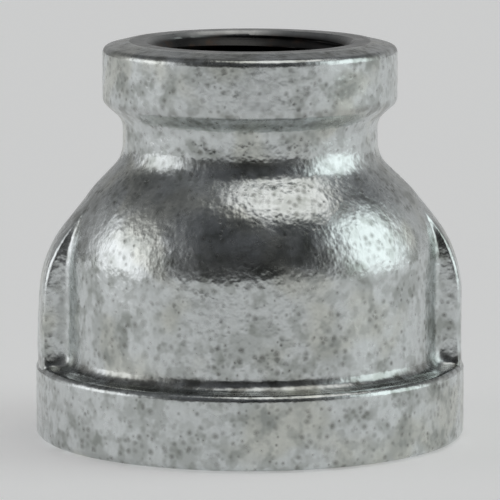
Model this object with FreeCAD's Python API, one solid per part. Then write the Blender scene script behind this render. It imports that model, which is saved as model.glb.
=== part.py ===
import FreeCAD, Part
import math
import os

# Concentric reducing coupling in galvanised malleable iron, 1-1/4 by 3/4 inch, class 150.
# One iron casting with two banded ends, a bell-shaped body and two lug ribs, under a hot-dip
# zinc coat that is missing where the ends were faced and tapped after galvanising.
# Millimetres, +Z up. The origin is the centre of the large end's faced rim, on the flow axis.

# Whole fitting
LENGTH = 52.3
ZINC = 0.12

# Large end, tapped for a 1-1/4 inch taper thread
LARGE_BAND_R = 28.4
LARGE_BAND_TOP = 9.95
LARGE_RIM_R = 25.6
LARGE_CROWN = 0.2
LARGE_MOUTH_R = 21.6
LARGE_TAP_R = 19.05
LARGE_TAP_DEPTH = 17.0

# Small end, tapped for a 3/4 inch taper thread
SMALL_BAND_R = 19.45
SMALL_BAND_FOOT = 44.4
SMALL_RIM_R = 16.4
SMALL_CROWN = 0.7
SMALL_MOUTH_R = 13.86
SMALL_TAP_R = 11.71
SMALL_TAP_DEPTH = 12.8

# Bell between the two bands
BODY_R = 24.7
BODY_TOP = 29.3
BODY_DRAFT = 0.2
NECK_R = 16.85
NECK_FOOT = 37.1
NECK_TOP = 42.1

# Cored waterway inside the bell
CHAMBER_R = 21.0
CHAMBER_TOP = 26.4
THROAT_R = 13.6
THROAT_FOOT = 34.2
CORE_STEP = 1.95

# Lug ribs, one on each side, where a wrench catches
RIB_R = 28.1
RIB_HALF_WIDTH = 5.95
RIB_SHOULDER = 24.1
RIB_TOP = 32.1
RIB_TOP_R = 21.8
RIB_FOOT = LARGE_BAND_TOP - 1.5
RIB_ROOT_ROUND = 1.6
RIB_NOSE_ROUND = 0.9

FLOW_AXIS = FreeCAD.Vector(0, 0, 1)
ORIGIN = FreeCAD.Vector(0, 0, 0)


def heading(a, b):
    """Unit direction from corner a to corner b in the (r, z) plane."""
    span = math.hypot(b[0] - a[0], b[1] - a[1])
    return (b[0] - a[0]) / span, (b[1] - a[1]) / span


def crossing(p, d, q, e):
    """Where the line through p along d meets the line through q along e."""
    step = ((q[0] - p[0]) * e[1] - (q[1] - p[1]) * e[0]) / (d[0] * e[1] - d[1] * e[0])
    return p[0] + d[0] * step, p[1] + d[1] * step


def moved_in(corners, depth):
    """The outline with each side moved towards its inside by depth, or outwards if it is negative.

    Corners are (r, z, rounding), anticlockwise from the axis and back to it. The first and last
    level sides, which are machined faces or cutting planes, and the axis stay where they are.
    """
    count = len(corners)
    held = (0, count - 2, count - 1)
    sides = []
    for i in range(count):
        a, b = corners[i], corners[(i + 1) % count]
        d = heading(a, b)
        shift = 0 if i in held else depth
        sides.append(((a[0] - d[1] * shift, a[1] + d[0] * shift), d))
    result = []
    for i, corner in enumerate(corners):
        (p, d), (q, e) = sides[i - 1], sides[i]
        r, z = crossing(p, d, q, e)
        convex = d[0] * e[1] - d[1] * e[0] > 0
        rounding = corner[2]
        if rounding:
            rounding += -depth if convex else depth
        result.append((r, z, rounding))
    return result


def corner_round(before, here, after, rounding):
    """The arc that rounds a corner, with its two ends."""
    back = (before - here).normalize()
    ahead = (after - here).normalize()
    half = back.getAngle(ahead) / 2
    reach = rounding / math.tan(half)
    start = here + back * reach
    end = here + ahead * reach
    middle = here + (back + ahead).normalize() * (rounding / math.sin(half) - rounding)
    return start, Part.Arc(start, middle, end).toShape(), end


def half_section(corners):
    """Face in the XZ plane with straight sides and an arc at each rounded corner."""
    points = [FreeCAD.Vector(r, 0, z) for r, z, _ in corners]
    count = len(points)
    edges = []
    leave = []
    arrive = []
    for i, here in enumerate(points):
        rounding = corners[i][2]
        if rounding:
            start, arc, end = corner_round(points[i - 1], here, points[(i + 1) % count], rounding)
            edges.append(arc)
            arrive.append(start)
            leave.append(end)
        else:
            arrive.append(here)
            leave.append(here)
    for i in range(count):
        edges.append(Part.makeLine(leave[i], arrive[(i + 1) % count]))
    return Part.Face(Part.Wire(Part.sortEdges(edges)[0]))


def turned(corners):
    """Solid of revolution about the flow axis."""
    return half_section(corners).revolve(ORIGIN, FLOW_AXIS, 360)


def bell_corners():
    """Outside of the fitting from the large rim up to the small rim, without the ribs.

    Each corner is (radius, height, how far it is rounded), as in the other outlines.
    """
    return [
        (0, 0, 0),
        (LARGE_RIM_R, 0, 0),
        (LARGE_BAND_R, LARGE_CROWN, 0.9),
        (LARGE_BAND_R, LARGE_BAND_TOP, 0.9),
        (BODY_R + BODY_DRAFT, LARGE_BAND_TOP, 1.5),
        (BODY_R, BODY_TOP, 15.0),
        (NECK_R, NECK_FOOT, 4.6),
        (NECK_R, NECK_TOP, 2.4),
        (SMALL_BAND_R, SMALL_BAND_FOOT, 1.4),
        (SMALL_BAND_R, LENGTH - SMALL_CROWN, 1.0),
        (SMALL_RIM_R, LENGTH, 0),
        (0, LENGTH, 0),
    ]


def rib_corners():
    """Half section that bounds the ribs: on the shoulder above, upright at the lug face."""
    return [
        (0, RIB_FOOT, 0),
        (RIB_R, RIB_FOOT, 0),
        (RIB_R, RIB_SHOULDER, 15.0),
        (RIB_TOP_R, RIB_TOP, 0),
        (0, RIB_TOP, 0),
    ]


def chamber_corners():
    """Cored waterway between the inner ends of the two tapped bores."""
    large_end = LARGE_TAP_DEPTH
    small_end = LENGTH - SMALL_TAP_DEPTH
    return [
        (0, large_end, 0),
        (LARGE_TAP_R, large_end, 0),
        (CHAMBER_R, large_end + CORE_STEP, 0),
        (CHAMBER_R, CHAMBER_TOP, 9.0),
        (THROAT_R, THROAT_FOOT, 4.0),
        (THROAT_R, small_end - CORE_STEP, 0),
        (SMALL_TAP_R, small_end, 0),
        (0, small_end, 0),
    ]


def rib_plan(depth):
    """Plan of the rib on the +X side: a sector of the bell, concave roots, flanks, rounded nose."""
    body = BODY_R - depth
    half = RIB_HALF_WIDTH - depth
    nose = RIB_R - depth
    root = RIB_ROOT_ROUND + depth
    tip = RIB_NOSE_ROUND
    root_x = math.sqrt((body + root) ** 2 - (half + root) ** 2)
    tip_x = math.sqrt((nose - tip) ** 2 - (half - tip) ** 2)

    def between(centre, radius, start, end):
        """Arc about centre from start to end, the short way."""
        bow = ((start - centre) + (end - centre)).normalize() * radius
        return Part.Arc(start, centre + bow, end).toShape()

    edges = []
    noses = []
    for side in (1, -1):
        root_centre = FreeCAD.Vector(root_x, side * (half + root), 0)
        tip_centre = FreeCAD.Vector(tip_x, side * (half - tip), 0)
        on_body = root_centre * (body / (body + root))
        root_end = FreeCAD.Vector(root_x, side * half, 0)
        tip_start = FreeCAD.Vector(tip_x, side * half, 0)
        on_nose = tip_centre * (nose / (nose - tip))
        edges.append(Part.makeLine(ORIGIN, on_body))
        edges.append(between(root_centre, root, on_body, root_end))
        edges.append(Part.makeLine(root_end, tip_start))
        edges.append(between(tip_centre, tip, tip_start, on_nose))
        noses.append(on_nose)
    edges.append(between(ORIGIN, nose, noses[0], noses[1]))
    return Part.Face(Part.Wire(Part.sortEdges(edges)[0]))


def make_ribs(depth):
    """Both lug ribs, each filling the bell behind it so that it fuses cleanly."""
    bound = turned(moved_in(rib_corners(), depth))
    column = rib_plan(depth).extrude(FLOW_AXIS * LENGTH)
    opposite = column.copy()
    opposite.rotate(ORIGIN, FLOW_AXIS, 180)
    return column.fuse(opposite).common(bound)


def outside(depth):
    """Everything within the fitting's outer skin, moved in by depth."""
    return turned(moved_in(bell_corners(), depth)).fuse(make_ribs(depth)).removeSplitter()


def tapped_bore(tap_r, mouth_r, depth):
    """Tap-drilled hole of the given depth from z = 0, with a 45 degree mouth."""
    bevel = mouth_r - tap_r
    hole = Part.makeCylinder(tap_r, depth)
    return hole.fuse(Part.makeCone(mouth_r, tap_r, bevel))


def tapped_ends():
    """The two bores that take the pipes."""
    large = tapped_bore(LARGE_TAP_R, LARGE_MOUTH_R, LARGE_TAP_DEPTH)
    small = tapped_bore(SMALL_TAP_R, SMALL_MOUTH_R, SMALL_TAP_DEPTH)
    small.rotate(ORIGIN, FreeCAD.Vector(1, 0, 0), 180)
    small.translate(FLOW_AXIS * LENGTH)
    return large, small


def make_iron_casting():
    """Malleable iron body: the bell with its bands and ribs, cored through and tapped."""
    iron = outside(ZINC)
    iron = iron.cut(turned(moved_in(chamber_corners(), -ZINC)))
    for bore in tapped_ends():
        iron = iron.cut(bore)
    return iron


def make_outer_zinc_coat():
    """Zinc on the outside, from the large faced rim to the small one."""
    return outside(0).cut(outside(ZINC))


def make_waterway_zinc_coat():
    """Zinc on the cored waterway, which the two taps have cut away at its ends."""
    chamber = turned(chamber_corners())
    return turned(moved_in(chamber_corners(), -ZINC)).cut(chamber)


def main():
    """Write one file for each piece."""
    os.makedirs("parts", exist_ok=True)
    pieces = {
        "iron_casting": make_iron_casting(),
        "outer_zinc_coat": make_outer_zinc_coat(),
        "waterway_zinc_coat": make_waterway_zinc_coat(),
    }
    for name, shape in pieces.items():
        solid = shape.Solids[0]
        box = solid.BoundBox
        print(name, len(shape.Solids), "solid", solid.isValid(), round(solid.Volume), "mm3")
        print("  x", round(box.XLength, 3), "y", round(box.YLength, 3), "z", round(box.ZLength, 3))
        solid.exportStep(f"parts/{name}.step")


main()
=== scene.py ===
import math

import bmesh
import bpy
import numpy as np
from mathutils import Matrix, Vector


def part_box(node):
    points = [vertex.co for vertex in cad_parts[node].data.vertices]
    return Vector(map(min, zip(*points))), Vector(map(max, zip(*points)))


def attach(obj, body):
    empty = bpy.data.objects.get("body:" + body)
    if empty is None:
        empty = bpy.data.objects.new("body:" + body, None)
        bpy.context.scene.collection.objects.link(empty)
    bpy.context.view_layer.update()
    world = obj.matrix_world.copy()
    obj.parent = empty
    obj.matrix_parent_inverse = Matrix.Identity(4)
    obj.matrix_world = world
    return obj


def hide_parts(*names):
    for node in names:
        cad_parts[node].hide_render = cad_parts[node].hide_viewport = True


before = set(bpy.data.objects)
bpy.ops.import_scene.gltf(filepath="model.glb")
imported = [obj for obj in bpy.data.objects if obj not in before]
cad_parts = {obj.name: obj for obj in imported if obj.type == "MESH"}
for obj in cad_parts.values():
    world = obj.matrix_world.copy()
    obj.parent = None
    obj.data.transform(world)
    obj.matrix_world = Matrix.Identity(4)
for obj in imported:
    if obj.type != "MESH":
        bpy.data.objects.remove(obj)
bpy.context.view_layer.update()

# Concentric reducing coupling: an iron casting under a hot-dip zinc coat, bare where it was faced
# and tapped. Metres, +Z up along the flow axis, origin at the centre of the large end's rim.

MM = 0.001


# ---- outer zinc coat -------------------------------------------------------------------------
# The zinc that the hot dip left on the outside, about a tenth of a millimetre thick. It follows
# the sand-cast skin of the iron under it, and ends at the two rims, where facing cut it away.

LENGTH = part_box("iron_casting")[1].z / MM
LARGE_BAND_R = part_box("outer_zinc_coat")[1].x / MM
LARGE_RIM_R = 25.6
SMALL_RIM_R = 16.4
SMALL_BAND_R = 19.45
BODY_R = 24.7
NECK_R = 16.85
LEDGE_Z = 9.95
RIB_R = 28.1
RIB_HALF_WIDTH = 5.95
RIB_HEAD_Z = 31.45
BAND_SEAM = (LARGE_BAND_R, 8.2)
ZINC = 0.12
CAST_RELIEF = 0.10


def rounded_track(corners):
    """Close-set points along straight sides, with an arc at each corner (across, along, rounding)."""
    corners = [(*corner, 0)[:3] for corner in corners]
    track = [np.array([corners[0][:2]], float)]
    for before, here, after in zip(corners, corners[1:], corners[2:]):
        middle = np.array(here[:2], float)
        back = np.array(before[:2]) - middle
        ahead = np.array(after[:2]) - middle
        back /= np.linalg.norm(back)
        ahead /= np.linalg.norm(ahead)
        half = math.acos(back @ ahead) / 2
        radius = max(here[2], 0.01)
        centre = middle + (back + ahead) / np.linalg.norm(back + ahead) * radius / math.sin(half)
        start = middle + back * radius / math.tan(half) - centre
        end = middle + ahead * radius / math.tan(half) - centre
        sweep = math.pi - 2 * half
        t = np.linspace(0, 1, 40)[:, None]
        arc = (np.sin((1 - t) * sweep) * start + np.sin(t * sweep) * end) / math.sin(sweep)
        track.append(centre + arc)
    track.append(np.array([corners[-1][:2]], float))
    return np.concatenate(track)


def spaced(track, count, bend=1.5):
    """Points along a track, evenly spaced by its length plus bend for each radian of turning."""
    step = np.diff(track, axis=0)
    length = np.hypot(step[:, 0], step[:, 1])
    step, length = step[length > 1e-9], length[length > 1e-9]
    heading = np.unwrap(np.arctan2(step[:, 1], step[:, 0]))
    turn = np.abs(np.diff(heading))
    turning = np.zeros(len(length))
    turning[:-1] += turn / 2
    turning[1:] += turn / 2
    points = np.concatenate([track[:1], track[0] + np.cumsum(step, axis=0)])
    measure = np.concatenate([[0], np.cumsum(length + bend * turning)])
    wanted = np.linspace(0, measure[-1], count)
    return np.stack([np.interp(wanted, measure, points[:, i]) for i in (0, 1)], axis=1)


def rib_columns(per_quarter):
    """Angles round the flow axis, and how far the lug rib stands out at each, from 0 to 1.

    The rib's plan is unrolled onto a circle midway up its flank: level nose, rounded edge, flank,
    hollow root, then the bell. One quarter is worked out and mirrored into the others.
    """
    middle_r = (BODY_R + RIB_R) / 2
    nose_edge = middle_r * math.asin(RIB_HALF_WIDTH / RIB_R)
    root = middle_r * math.asin(RIB_HALF_WIDTH / BODY_R)
    quarter = middle_r * math.pi / 2
    corners = [(0, RIB_R), (nose_edge, RIB_R, 0.9), (root, BODY_R, 1.7), (quarter, BODY_R)]
    path = spaced(rounded_track(corners), per_quarter + 1, 3.0)
    angle = path[:, 0] / middle_r
    share = (path[:, 1] - BODY_R) / (RIB_R - BODY_R)
    angles = [angle[:-1], math.pi - angle[:0:-1], math.pi + angle[:-1], 2 * math.pi - angle[:0:-1]]
    shares = [share[:-1], share[:0:-1], share[:-1], share[:0:-1]]
    return np.concatenate(angles), np.concatenate(shares)


def bell_rows(upper, lower, foot):
    """Two half sections of the outside that share their ends: beside the ribs, and through them.

    Both run down from the small rim to the large one, with the given number of rows above the
    rib's head, beside the rib, and round the large band. The rib's head lies on the shoulder.
    """
    bell = rounded_track([
        (SMALL_RIM_R, LENGTH),
        (SMALL_BAND_R, LENGTH - 0.7, 1.0),
        (SMALL_BAND_R, 44.4, 1.4),
        (NECK_R, 42.1, 2.4),
        (NECK_R, 37.1, 4.6),
        (BODY_R, 29.3, 15.0),
        (BODY_R + 0.2, LEDGE_Z, 1.5),
        (LARGE_BAND_R, LEDGE_Z, 0.9),
        BAND_SEAM,
    ])
    above = bell[bell[:, 1] > RIB_HEAD_Z]
    below = bell[bell[:, 1] < RIB_HEAD_Z]
    share = (above[-1, 1] - RIB_HEAD_Z) / (above[-1, 1] - below[0, 1])
    head = (above[-1] + share * (below[0] - above[-1]))[None]
    through = rounded_track([
        tuple(head[0]),
        (RIB_R, 24.1, 15.0),
        (RIB_R, LEDGE_Z - 0.3, 0.5),
        (LARGE_BAND_R, LEDGE_Z - 0.7, 0.3),
        BAND_SEAM,
    ])
    band = rounded_track([
        BAND_SEAM,
        (LARGE_BAND_R, 0.2, 0.9),
        (LARGE_RIM_R, 0),
    ])
    top = spaced(np.concatenate([above, head]), upper)
    beside = spaced(np.concatenate([head, below]), lower)
    band = spaced(band, foot)
    plain = np.concatenate([top, beside[1:-1], band])
    ribbed = np.concatenate([top, spaced(through, lower)[1:-1], band])
    return plain, ribbed


def turned_form(plain, ribbed, angles, shares):
    """Surface of the outside: each column is the plain section, moved towards the ribbed one.

    Point (i, j) is plain[i] + share[j] * (ribbed[i] - plain[i]), turned about Z by angle[j]. As
    cast, the left rib stands out more towards its foot, and the shoulder lies a little off axis.
    """
    left = (1 - np.cos(angles))[None, :] / 2
    rise = np.clip((ribbed[:, 1:] - LEDGE_Z) / 10, 0, 1)
    uneven = 0.985 + left * (0.085 - 0.11 * rise)
    section = plain[:, None, :] + (shares * uneven)[..., None] * (ribbed - plain)[:, None, :]
    r, z = section[..., 0], section[..., 1]
    off_axis = 0.3 * np.exp(-((z - 30) / 6) ** 2)
    return np.stack([r * np.cos(angles) + off_axis, r * np.sin(angles), z], axis=2)


def outward(surface):
    """Unit normals of a surface whose columns run round the flow axis and close on themselves."""
    down = np.gradient(surface, axis=0)
    around = np.roll(surface, -1, axis=1) - np.roll(surface, 1, axis=1)
    normal = np.cross(down, around)
    return normal / np.linalg.norm(normal, axis=2, keepdims=True)


def cast_noise(points, cell, seed):
    """Smooth noise from 0 to 1: random values on a cubic lattice, blended along quintic curves."""
    place = points / cell
    low = np.floor(place).astype(int)
    blend = place - low
    blend = blend ** 3 * (blend * (blend * 6 - 15) + 10)
    low -= low.min(axis=(0, 1))
    lattice = np.random.default_rng(seed).random(low.max(axis=(0, 1)) + 2)
    total = np.zeros(points.shape[:2])
    for corner in np.ndindex(2, 2, 2):
        weight = np.prod(np.where(corner, blend, 1 - blend), axis=2)
        x, y, z = (low + corner).transpose(2, 0, 1)
        total += weight * lattice[x, y, z]
    return total


def sand_cast_relief(points):
    """How far the skin lies under its nominal form: slow waves, lumps and sand grain, added up."""
    waves = cast_noise(points, 7.3, 11)
    lumps = cast_noise(points, 2.6, 12)
    grain = cast_noise(points, 1.15, 13)
    return CAST_RELIEF * (0.40 * waves + 0.33 * lumps + 0.27 * grain)


def ring_faces(rows, columns, first, close_rows):
    """Quads of a grid whose columns close into rings, and whose rows close too if asked."""
    last = rows if close_rows else rows - 1
    i, j = np.meshgrid(np.arange(last), np.arange(columns), indexing="ij")
    below = (i + 1) % rows
    right = (j + 1) % columns
    quads = [i * columns + j, below * columns + j, below * columns + right, i * columns + right]
    return np.stack(quads, axis=2).reshape(-1, 4) + first


def metal_object(name, vertices, faces, material):
    """Closed mesh from points in millimetres, with smooth faces, crisp edges and one material."""
    mesh = bpy.data.meshes.new(name)
    mesh.from_pydata((vertices * MM).tolist(), [], faces)
    work = bmesh.new()
    work.from_mesh(mesh)
    bmesh.ops.recalc_face_normals(work, faces=work.faces)
    work.to_mesh(mesh)
    work.free()
    mesh.polygons.foreach_set("use_smooth", np.ones(len(mesh.polygons), bool))
    mesh.set_sharp_from_angle(angle=math.radians(38))
    mesh.materials.append(material)
    piece = bpy.data.objects.new(name, mesh)
    bpy.context.scene.collection.objects.link(piece)
    return piece


def add_node(tree, kind, inputs=None, **settings):
    """A shader node with its settings; an input that is a socket is linked, any other is set."""
    node = tree.nodes.new(kind)
    for key, value in settings.items():
        setattr(node, key, value)
    for key, value in (inputs or {}).items():
        if isinstance(value, bpy.types.NodeSocket):
            tree.links.new(value, node.inputs[key])
        else:
            node.inputs[key].default_value = value
    return node


def arithmetic(tree, operation, a, b=0.0, clamp=False):
    """The result socket of a Math node."""
    node = add_node(tree, "ShaderNodeMath", {0: a, 1: b}, operation=operation, use_clamp=clamp)
    return node.outputs[0]


def remap(tree, value, low, high, to_low=0.0, to_high=1.0):
    """A value carried smoothly from one range to another, and held at its ends."""
    inputs = {"Value": value, "From Min": low, "From Max": high, "To Min": to_low, "To Max": to_high}
    return add_node(tree, "ShaderNodeMapRange", inputs, interpolation_type="SMOOTHSTEP").outputs[0]


def grain_noise(tree, place, size_mm, detail=2.0, roughness=0.5):
    """Noise whose features are about size_mm across."""
    inputs = {"Vector": place, "Scale": 1 / (size_mm * MM), "Detail": detail, "Roughness": roughness}
    return add_node(tree, "ShaderNodeTexNoise", inputs).outputs["Fac"]


def blended(tree, share, one, other):
    """One colour turned into another by a share from 0 to 1."""
    inputs = {"Factor": share, "A": one, "B": other}
    node = tree.nodes.new("ShaderNodeMix")
    node.data_type = "RGBA"
    for key, value in inputs.items():
        socket = [s for s in node.inputs if s.name == key and s.enabled][0]
        if isinstance(value, bpy.types.NodeSocket):
            tree.links.new(value, socket)
        else:
            socket.default_value = value
    return [s for s in node.outputs if s.enabled][0]


def new_metal(name):
    """A metallic material, its tree, its shader and the object coordinates."""
    material = bpy.data.materials.new(name)
    material.use_nodes = True
    tree = material.node_tree
    shader = tree.nodes["Principled BSDF"]
    shader.inputs["Metallic"].default_value = 1.0
    place = tree.nodes.new("ShaderNodeTexCoord").outputs["Object"]
    return material, tree, shader, place


def scattered_pits(tree, place, cell_mm, radius, keep):
    """Round pits from 0 to 1 deep, one in a share `keep` of the cells, each of its own size."""
    cells = add_node(tree, "ShaderNodeTexVoronoi", {"Vector": place, "Scale": 1 / (cell_mm * MM)})
    lot = add_node(tree, "ShaderNodeSeparateColor", {0: cells.outputs["Color"]})
    chosen = arithmetic(tree, "LESS_THAN", lot.outputs[0], keep)
    reach = remap(tree, lot.outputs[1], 0.0, 1.0, radius * 0.55, radius * 1.25)
    depth = remap(tree, arithmetic(tree, "DIVIDE", cells.outputs["Distance"], reach), 1.0, 0.0)
    return arithmetic(tree, "MULTIPLY", depth, chosen)


def hot_dip_zinc():
    """Bright zinc over a sand skin: mottled grey, orange-peel grain, dirty dimples and pits.

    The grain is shallower on the two bands and the lower bell. Painted shade darkens the crease
    above the large band and the edges of the small one, and faint yellow stains lie all over.
    """
    material, tree, shader, place = new_metal("hot_dip_zinc")
    stretch = add_node(tree, "ShaderNodeMapping", {"Vector": place, "Scale": (1, 1, 0.30)})
    height = add_node(tree, "ShaderNodeSeparateXYZ", {0: place}).outputs[2]
    clouds = grain_noise(tree, place, 5.5, 3.0, 0.6)
    patches = grain_noise(tree, place, 2.0, 2.0, 0.5)
    peel = grain_noise(tree, place, 0.72, 1.0, 0.4)
    lumps = grain_noise(tree, place, 1.9, 1.0, 0.5)
    streaks = grain_noise(tree, stretch.outputs[0], 0.50, 1.0, 0.4)
    pits = scattered_pits(tree, place, 1.7, 0.24, 0.35)
    low_band = remap(tree, height, 8.0 * MM, 10.0 * MM, 0.66, 1.0)
    high_band = remap(tree, height, 42.0 * MM, 44.5 * MM, 1.0, 0.55)
    rough_skin = arithmetic(tree, "MULTIPLY", low_band, high_band)
    body_skin = remap(tree, height, 20 * MM, 30 * MM, 0.76, 1.08)
    rough_skin = arithmetic(tree, "MULTIPLY", rough_skin, body_skin)
    worn = remap(tree, clouds, 0.60, 0.42, 0.35, 1.0)
    dimples = arithmetic(tree, "MULTIPLY", scattered_pits(tree, place, 0.95, 0.56, 0.85), worn)
    bright = blended(tree, streaks, (0.635, 0.665, 0.665, 1), (0.755, 0.785, 0.785, 1))
    stained = remap(tree, grain_noise(tree, place, 9.0, 2.0, 0.5), 0.50, 0.64, 0.0, 0.45)
    coat = blended(tree, stained, bright, (0.60, 0.595, 0.50, 1))
    dull = remap(tree, clouds, 0.54, 0.36, 0.0, 0.55)
    dull = arithmetic(tree, "ADD", dull, remap(tree, patches, 0.52, 0.36, 0.0, 0.45))
    coat = blended(tree, dull, coat, (0.365, 0.385, 0.365, 1))
    # Painted shade: darker zinc, broken up by noise, in the crease above the ledge, under the small
    # band and along its crown edge, where it also dims the highlights.
    crease_foot = remap(tree, height, (LEDGE_Z - 0.5) * MM, (LEDGE_Z + 0.1) * MM)
    crease_head = remap(tree, height, (LEDGE_Z + 0.9) * MM, (LEDGE_Z + 1.9) * MM, 1.0, 0.0)
    crease = arithmetic(tree, "MULTIPLY", crease_foot, crease_head)
    under_band = remap(tree, height, 42.3 * MM, 43.2 * MM, 0.0, 0.55)
    band_face = remap(tree, height, 44.6 * MM, 45.5 * MM, 1.0, 0.0)
    under_band = arithmetic(tree, "MULTIPLY", under_band, band_face)
    crown_edge = remap(tree, height, (LENGTH - 1.4) * MM, (LENGTH - 0.8) * MM, 0.0, 0.45)
    crease = arithmetic(tree, "ADD", crease, arithmetic(tree, "ADD", under_band, crown_edge))
    painted_shade = arithmetic(tree, "MULTIPLY", crease, remap(tree, patches, 0.30, 0.60, 0.75, 0.25))
    coat = blended(tree, painted_shade, coat, (0.17, 0.165, 0.15, 1))
    coat = blended(tree, arithmetic(tree, "MULTIPLY", dimples, 0.58), coat, (0.15, 0.15, 0.135, 1))
    coat = blended(tree, arithmetic(tree, "MULTIPLY", pits, 0.60), coat, (0.08, 0.075, 0.065, 1))
    tree.links.new(coat, shader.inputs["Base Color"])
    gloss = remap(tree, clouds, 0.35, 0.7, 0.19, 0.28)
    gloss = arithmetic(tree, "ADD", gloss, arithmetic(tree, "MULTIPLY", dimples, 0.10))
    tree.links.new(gloss, shader.inputs["Roughness"])
    relief = arithmetic(tree, "ADD", peel, arithmetic(tree, "MULTIPLY", streaks, 0.30))
    relief = arithmetic(tree, "ADD", relief, lumps)
    relief = arithmetic(tree, "SUBTRACT", relief, arithmetic(tree, "MULTIPLY", dimples, 0.30))
    relief = arithmetic(tree, "SUBTRACT", relief, arithmetic(tree, "MULTIPLY", pits, 0.25))
    relief = arithmetic(tree, "MULTIPLY", relief, rough_skin)
    bump = add_node(tree, "ShaderNodeBump", {"Height": relief, "Strength": 1.0, "Distance": 0.056 * MM})
    tree.links.new(bump.outputs[0], shader.inputs["Normal"])
    return material


def turned_ring(radius, z, angles):
    """Points at one height, at a radius (one, or one for each angle) from the flow axis."""
    radius = np.broadcast_to(radius, angles.shape)
    return np.stack([radius * np.cos(angles), radius * np.sin(angles), np.full_like(angles, z)], axis=1)


def rim_bare(rim_r, band_r, crown):
    """Width on a faced rim that the coat's cut edge takes up, where the crown falls away outside it."""
    return ZINC / math.sin(math.atan2(crown, band_r - rim_r))


def outer_zinc_shell():
    """The coat as a closed shell: the relief-marked outside, and an inside that follows it thinner."""
    angles, shares = rib_columns(100)
    plain, ribbed = bell_rows(84, 82, 30)
    outside = turned_form(plain, ribbed, angles, shares)
    inside_rows = np.unique(np.linspace(0, len(plain) - 1, 52).astype(int))
    normals = outward(outside)
    from_rim = np.minimum(np.abs(outside[..., 2:] - LENGTH), np.abs(outside[..., 2:]))
    settled = np.clip(from_rim / 1.5, 0, 1)
    relief = sand_cast_relief(outside)[..., None] * (0.15 + 0.85 * settled)
    thickness = ZINC + CAST_RELIEF * settled
    inside = (outside - normals * thickness)[inside_rows]
    outside = outside - normals * relief
    outside[0, :, 2] = LENGTH
    outside[-1, :, 2] = 0
    inside[0] = turned_ring(SMALL_RIM_R - rim_bare(SMALL_RIM_R, SMALL_BAND_R, 0.7), LENGTH, angles)
    inside[-1] = turned_ring(LARGE_RIM_R - rim_bare(LARGE_RIM_R, LARGE_BAND_R, 0.2), 0, angles)
    shell = np.concatenate([outside, inside[::-1]])
    rows, columns = shell.shape[:2]
    faces = ring_faces(rows, columns, 0, True)
    return shell.reshape(-1, 3), faces.tolist()


zinc_vertices, zinc_faces = outer_zinc_shell()
zinc_skin = metal_object("outer_zinc_coat_finished", zinc_vertices, zinc_faces, hot_dip_zinc())
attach(zinc_skin, "root")
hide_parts("outer_zinc_coat")


# ---- iron casting ----------------------------------------------------------------------------
# The fitting itself, malleable iron cast in green sand round a core and then annealed. After the
# zinc dip both ends were faced and countersunk, and a taper tap cut the pipe threads in bare iron.

IRON_COLUMNS = 240
UNDER_COAT = 0.07
LARGE_END = {"mouth_r": 21.6, "tap_r": 19.05, "depth": 16.7, "major_r": 20.99, "pitch": 2.209}
SMALL_END = {"mouth_r": 13.86, "tap_r": 11.71, "depth": 12.55, "major_r": 13.284, "pitch": 1.814}
CORED_WALL = [(21.25, 18.9, 0.8), (21.25, 26.45, 9.2), (13.85, 34.3, 4.2), (13.85, 37.6, 0.8)]


def tapped_strip(mouth_r, tap_r, depth, major_r, pitch, rising):
    """Points of a tapped bore as a strip that winds right-handed, one turn to a pitch.

    Point (c, p) is turned by c steps and raised by c steps' share of the pitch plus the height of
    profile point p. Its radius is the largest of the drilled bore, the 45 degree countersink and
    the 60 degree groove, whose root tapers 1 in 32 and vanishes over the last three turns. Heights
    outside the bore are gathered softly onto its two ends.
    """
    profile = np.array([0, 0.06, 0.20, 0.34, 0.47, 0.53, 0.66, 0.80, 0.94])
    turns = math.ceil(depth / pitch) + 3
    c = np.arange(turns * IRON_COLUMNS + 1)[:, None]
    raised = pitch * (c / IRON_COLUMNS + profile - 1.3)
    into = raised if rising else depth - raised
    into = (into + np.sqrt(into ** 2 + 0.01)) / 2
    left = depth - into
    into = depth - (left + np.sqrt(left ** 2 + 0.01)) / 2
    vanish = np.clip((into - depth) / (3 * pitch) + 1, 0, 1) ** 2
    root_r = major_r - into / 32 - vanish * (major_r - tap_r + 0.1)
    flank = 1.732 * np.maximum(np.abs(profile - 0.5) * pitch - 0.03 * pitch, 0)
    radius = np.maximum(np.maximum(tap_r, mouth_r - into), root_r - flank)
    angle = c * 2 * math.pi / IRON_COLUMNS
    z = into if rising else LENGTH - into
    return np.stack([radius * np.cos(angle), radius * np.sin(angle), z], axis=2)


def strip_faces(strip, first):
    """Quads of a wound strip: along it, and from each turn to the next."""
    steps, points = strip.shape[:2]
    c, p = np.meshgrid(np.arange(steps - 1), np.arange(points - 1), indexing="ij")
    corner = c * points + p
    along = np.stack([corner, corner + points, corner + points + 1, corner + 1], axis=2).reshape(-1, 4)
    c = np.arange(steps - 1 - IRON_COLUMNS)
    top = c * points + points - 1
    over = (c + IRON_COLUMNS) * points
    between = np.stack([top, top + points, over + points, over], axis=1)
    return (np.concatenate([along, between]) + first).tolist()


def strip_to_ring(ring_first, strip, first, at_start):
    """Quads from a ring of points to one end of a wound strip, and the face at its cut end."""
    steps, points = strip.shape[:2]
    j = np.arange(IRON_COLUMNS - 1)
    if at_start:
        edge = first + np.arange(IRON_COLUMNS + 1) * points
        cut = [first + p for p in range(points)] + [edge[-1], edge[-2]]
    else:
        edge = first + (steps - 1 - IRON_COLUMNS + np.arange(IRON_COLUMNS + 1)) * points + points - 1
        cut = [edge[0]] + [first + (steps - 1) * points + p for p in range(points)] + [edge[-2]]
    quads = np.stack([ring_first + j, ring_first + j + 1, edge[j + 1], edge[j]], axis=1)
    return quads.tolist() + [[ring_first + IRON_COLUMNS - 1, ring_first] + [int(v) for v in cut]]


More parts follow.
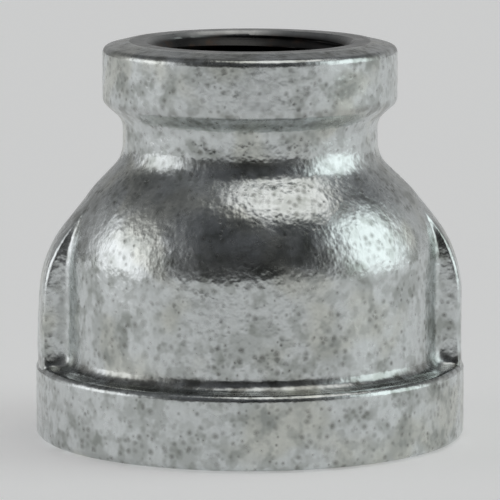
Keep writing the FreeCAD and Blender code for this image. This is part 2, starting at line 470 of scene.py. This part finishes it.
def faced_rim(outer_edge, mouth_r, z, rows):
    """Flat ring of rows from the outer edge to the round mouth, spread evenly."""
    even = np.arange(IRON_COLUMNS) * 2 * math.pi / IRON_COLUMNS
    angle = np.unwrap(np.arctan2(outer_edge[:, 1], outer_edge[:, 0]))
    angle += 2 * math.pi * np.round((even - angle) / (2 * math.pi))
    radius = np.hypot(outer_edge[:, 0], outer_edge[:, 1])
    t = np.linspace(0, 1, rows)[:, None]
    angle = angle + t * (even - angle)
    radius = radius + t * (mouth_r - radius)
    return np.stack([radius * np.cos(angle), radius * np.sin(angle), np.full_like(radius, z)], axis=2)


def iron_shell():
    """The casting as one closed shell: faced rims, the skin under the coat, bores and cored wall."""
    angles, shares = rib_columns(IRON_COLUMNS // 4)
    plain, ribbed = bell_rows(84, 82, 30)
    skin = turned_form(plain, ribbed, angles, shares)
    from_rim = np.minimum(np.abs(skin[..., 2:] - LENGTH), np.abs(skin[..., 2:]))
    under = ZINC + CAST_RELIEF * np.clip(from_rim / 1.5, 0, 1) + UNDER_COAT
    skin = (skin - outward(skin) * under)[np.unique(np.linspace(0, len(plain) - 1, 60).astype(int))]
    crown_bare_r = SMALL_RIM_R - rim_bare(SMALL_RIM_R, SMALL_BAND_R, 0.7) - 0.02
    foot_bare_r = LARGE_RIM_R - rim_bare(LARGE_RIM_R, LARGE_BAND_R, 0.2) - 0.02
    crown_edge = turned_ring(crown_bare_r, LENGTH, angles)
    foot_edge = turned_ring(foot_bare_r, 0, angles)
    crown = faced_rim(crown_edge, SMALL_END["mouth_r"], LENGTH, 5)[::-1]
    foot = faced_rim(foot_edge, LARGE_END["mouth_r"], 0, 5)
    case = np.concatenate([crown, skin[1:-1], foot])
    large = tapped_strip(**LARGE_END, rising=True)
    small = tapped_strip(**SMALL_END, rising=False)
    wall = spaced(rounded_track([
        (LARGE_END["tap_r"], LARGE_END["depth"]),
        *CORED_WALL,
        (SMALL_END["tap_r"], LENGTH - SMALL_END["depth"]),
    ]), 40)
    even = np.arange(IRON_COLUMNS) * 2 * math.pi / IRON_COLUMNS
    wall = np.stack([turned_ring(r, z, even) for r, z in wall])
    blocks = [case.reshape(-1, 3), large.reshape(-1, 3), wall.reshape(-1, 3), small.reshape(-1, 3)]
    starts = np.concatenate([[0], np.cumsum([len(block) for block in blocks])])
    rows = len(case)
    faces = ring_faces(rows, IRON_COLUMNS, 0, False).tolist()
    faces += strip_to_ring((rows - 1) * IRON_COLUMNS, large, int(starts[1]), True)
    faces += strip_faces(large, starts[1])
    faces += strip_to_ring(int(starts[2]), large, int(starts[1]), False)
    faces += ring_faces(len(wall), IRON_COLUMNS, starts[2], False).tolist()
    faces += strip_to_ring(int(starts[3]) - IRON_COLUMNS, small, int(starts[3]), True)
    faces += strip_faces(small, starts[3])
    faces += strip_to_ring(0, small, int(starts[3]), False)
    return np.concatenate(blocks), faces


def faced_iron():
    """Bare malleable iron: fine concentric tool marks, with faint rust in the grooves; inside the bores
    it is near black, partly from oil and partly as painted shade.
    """
    material, tree, shader, place = new_metal("faced_iron")
    parts = add_node(tree, "ShaderNodeSeparateXYZ", {0: place})
    x_square = arithmetic(tree, "MULTIPLY", parts.outputs[0], parts.outputs[0])
    y_square = arithmetic(tree, "MULTIPLY", parts.outputs[1], parts.outputs[1])
    radius = arithmetic(tree, "SQRT", arithmetic(tree, "ADD", x_square, y_square))
    section = add_node(tree, "ShaderNodeCombineXYZ", {0: radius, 2: parts.outputs[2]})
    marks = grain_noise(tree, section.outputs[0], 0.16, 2.0, 0.6)
    stain = grain_noise(tree, place, 2.6, 3.0, 0.6)
    grit = grain_noise(tree, place, 0.4, 2.0, 0.6)
    rusty = remap(tree, stain, 0.52, 0.72, 0.0, 0.7)
    iron = blended(tree, grit, (0.31, 0.315, 0.31, 1), (0.45, 0.455, 0.45, 1))
    # Partly oil, partly painted shade: past the first millimetre into either bore the iron turns near
    # black, with rust-brown in patches.
    above = arithmetic(tree, "SUBTRACT", LENGTH * MM, parts.outputs[2])
    into_bore = arithmetic(tree, "MINIMUM", above, parts.outputs[2])
    in_bore = remap(tree, into_bore, 0.10 * MM, 0.9 * MM, 0.0, 0.93)
    thread = blended(tree, rusty, (0.016, 0.015, 0.014, 1), (0.07, 0.034, 0.016, 1))
    oil_and_painted_shade = blended(tree, in_bore, iron, thread)
    tree.links.new(oil_and_painted_shade, shader.inputs["Base Color"])
    tree.links.new(remap(tree, stain, 0.3, 0.7, 0.26, 0.42), shader.inputs["Roughness"])
    relief = arithmetic(tree, "ADD", marks, arithmetic(tree, "MULTIPLY", grit, 0.5))
    bump = add_node(tree, "ShaderNodeBump", {"Height": relief, "Strength": 1.0, "Distance": 0.02 * MM})
    tree.links.new(bump.outputs[0], shader.inputs["Normal"])
    return material


iron_vertices, iron_faces = iron_shell()
iron_body = metal_object("iron_casting_finished", iron_vertices, iron_faces, faced_iron())
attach(iron_body, "root")
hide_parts("iron_casting")


# ---- waterway zinc coat ----------------------------------------------------------------------
# The zinc that stays on the rough cored wall between the two bores. Nothing has touched it since
# the dip, so it is duller and lumpier than the coat outside.


def cored_wall_zinc():
    """Dull zinc over a core's coarse sand skin, with white bloom and slag-dark hollows."""
    material, tree, shader, place = new_metal("cored_wall_zinc")
    lumps = grain_noise(tree, place, 2.2, 3.0, 0.6)
    grit = grain_noise(tree, place, 0.6, 2.0, 0.6)
    bloom = remap(tree, lumps, 0.45, 0.7)
    coat = blended(tree, bloom, (0.34, 0.345, 0.34, 1), (0.52, 0.53, 0.52, 1))
    coat = blended(tree, remap(tree, grit, 0.5, 0.3, 0.0, 0.6), coat, (0.16, 0.15, 0.135, 1))
    tree.links.new(coat, shader.inputs["Base Color"])
    tree.links.new(remap(tree, lumps, 0.3, 0.7, 0.38, 0.62), shader.inputs["Roughness"])
    relief = arithmetic(tree, "ADD", lumps, arithmetic(tree, "MULTIPLY", grit, 0.35))
    bump = add_node(tree, "ShaderNodeBump", {"Height": relief, "Strength": 1.0, "Distance": 0.22 * MM})
    tree.links.new(bump.outputs[0], shader.inputs["Normal"])
    return material


waterway_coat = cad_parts["waterway_zinc_coat"]
waterway_coat.data.materials.clear()
waterway_coat.data.materials.append(cored_wall_zinc())


# ---- floor, light and camera -----------------------------------------------------------------
# A plain pale studio floor under soft light: one tall soft box on each side and one overhead, in
# a room that is dark in front and grey behind.

CENTRE = Vector((0, 0, LENGTH / 2 * MM))
CAMERA_DISTANCE = 0.600
CAMERA_AZIMUTH = math.radians(-2.5)
CAMERA_ELEVATION = math.radians(8.3)
CAMERA_LENS = 326.7
AIM_DROP = 1.65 * MM
FLOOR_GLOW = 0.28
WALLS_ROUND = [
    (-180, 0.36), (-140, 0.26), (-112, 0.47), (-86, 0.80), (-62, 0.36), (-46, 0.08), (0, 0.030),
    (38, 0.06), (58, 0.42), (84, 0.82), (108, 0.58), (128, 0.44), (180, 0.36),
]
SIDE_BOXES = [
    ((-112, -70, 20), (-4, 29, 14), (1.36, 1.37, 1.39, 1)),
    ((62, 107, 20), (-4, 44, 14), (1.27, 1.38, 1.37, 1)),
]
TOP_BOXES = [((80, 78, 15, 28), (1.16, 1.15, 1.12, 1))]


def way_round(tree, parts):
    """Azimuth of a direction or place from its split parts: 0 in front, positive to the right."""
    frontward = arithmetic(tree, "MULTIPLY", parts.outputs[1], -1.0)
    return arithmetic(tree, "ARCTAN2", parts.outputs[0], frontward)


def around_room(tree, azimuth, stops):
    """Grey that changes round the room, from (degrees from the front, brightness) pairs."""
    share = arithmetic(tree, "ADD", arithmetic(tree, "MULTIPLY", azimuth, 0.5 / math.pi), 0.5)
    ramp = add_node(tree, "ShaderNodeValToRGB", {0: share})
    ramp.color_ramp.interpolation = "EASE"
    elements = ramp.color_ramp.elements
    while len(elements) < len(stops):
        elements.new(0.5)
    for element, (degrees, grey) in zip(elements, stops):
        element.position = degrees / 360 + 0.5
        element.color = (grey, grey, grey, 1)
    return ramp.outputs[0]


def pale_floor():
    """Level floor of one pale grey all over, which the object shades a little where it stands."""
    mesh = bpy.data.meshes.new("floor")
    half = 3.0
    corners = [(-half, -half, 0), (half, -half, 0), (half, half, 0), (-half, half, 0)]
    mesh.from_pydata(corners, [], [(0, 1, 2, 3)])
    material = bpy.data.materials.new("pale_floor")
    material.use_nodes = True
    shader = material.node_tree.nodes["Principled BSDF"]
    shader.inputs["Base Color"].default_value = (0.80, 0.80, 0.80, 1)
    shader.inputs["Roughness"].default_value = 0.9
    shader.inputs["Specular IOR Level"].default_value = 0.1
    shader.inputs["Emission Color"].default_value = (1, 1, 1, 1)
    shader.inputs["Emission Strength"].default_value = FLOOR_GLOW
    mesh.materials.append(material)
    floor = bpy.data.objects.new("floor", mesh)
    bpy.context.scene.collection.objects.link(floor)


def soft_window(tree, value, low, high, soft):
    """1 between two angles in degrees, and 0 outside them, with edges that many degrees soft."""
    low, high, soft = math.radians(low), math.radians(high), math.radians(soft) / 2
    rise = remap(tree, value, low - soft, low + soft)
    fall = remap(tree, value, high - soft, high + soft, 1.0, 0.0)
    return arithmetic(tree, "MULTIPLY", rise, fall)


def soft_spot(tree, way, azimuth, elevation, inner, outer):
    """1 within an inner angle of a direction, fading to 0 at an outer one, all in degrees."""
    azimuth, elevation = math.radians(azimuth), math.radians(elevation)
    level = math.cos(elevation)
    middle = (math.sin(azimuth) * level, -math.cos(azimuth) * level, math.sin(elevation))
    dot = add_node(tree, "ShaderNodeVectorMath", {0: way, 1: middle}, operation="DOT_PRODUCT")
    facing = dot.outputs["Value"]
    return remap(tree, facing, math.cos(math.radians(outer)), math.cos(math.radians(inner)))


def studio_room():
    """The room round the object: plain grey walls, darker in front and above, and soft boxes."""
    world = bpy.data.worlds.new("studio_room")
    bpy.context.scene.world = world
    world.use_nodes = True
    tree = world.node_tree
    tree.nodes.clear()
    way = tree.nodes.new("ShaderNodeTexCoord").outputs["Generated"]
    parts = add_node(tree, "ShaderNodeSeparateXYZ", {0: way})
    azimuth = way_round(tree, parts)
    elevation = arithmetic(tree, "ARCSINE", parts.outputs[2])
    colour = around_room(tree, azimuth, WALLS_ROUND)
    upper = remap(tree, elevation, math.radians(12), math.radians(45), 0.0, 0.85)
    colour = blended(tree, upper, colour, (0.085, 0.088, 0.095, 1))
    for sides, heights, tint in SIDE_BOXES:
        across = soft_window(tree, azimuth, *sides)
        upright = soft_window(tree, elevation, *heights)
        colour = blended(tree, arithmetic(tree, "MULTIPLY", across, upright), colour, tint)
    for spot, tint in TOP_BOXES:
        colour = blended(tree, soft_spot(tree, way, *spot), colour, tint)
    back = add_node(tree, "ShaderNodeBackground", {"Color": colour, "Strength": 1.0})
    add_node(tree, "ShaderNodeOutputWorld", {"Surface": back.outputs[0]})


pale_floor()
studio_room()

camera_data = bpy.data.cameras.new("camera")
camera_data.sensor_width = 36.0
camera_data.lens = CAMERA_LENS
camera_data.clip_start = 0.05
camera_data.clip_end = 20.0
camera = bpy.data.objects.new("camera", camera_data)
level = math.cos(CAMERA_ELEVATION) * CAMERA_DISTANCE
camera.location = CENTRE + Vector((
    math.sin(CAMERA_AZIMUTH) * level,
    -math.cos(CAMERA_AZIMUTH) * level,
    math.sin(CAMERA_ELEVATION) * CAMERA_DISTANCE,
))
aim = CENTRE - Vector((0, 0, AIM_DROP))
camera.rotation_euler = (aim - camera.location).to_track_quat("-Z", "Y").to_euler()
bpy.context.scene.collection.objects.link(camera)
bpy.context.scene.camera = camera
bpy.context.scene.view_settings.view_transform = "Standard"
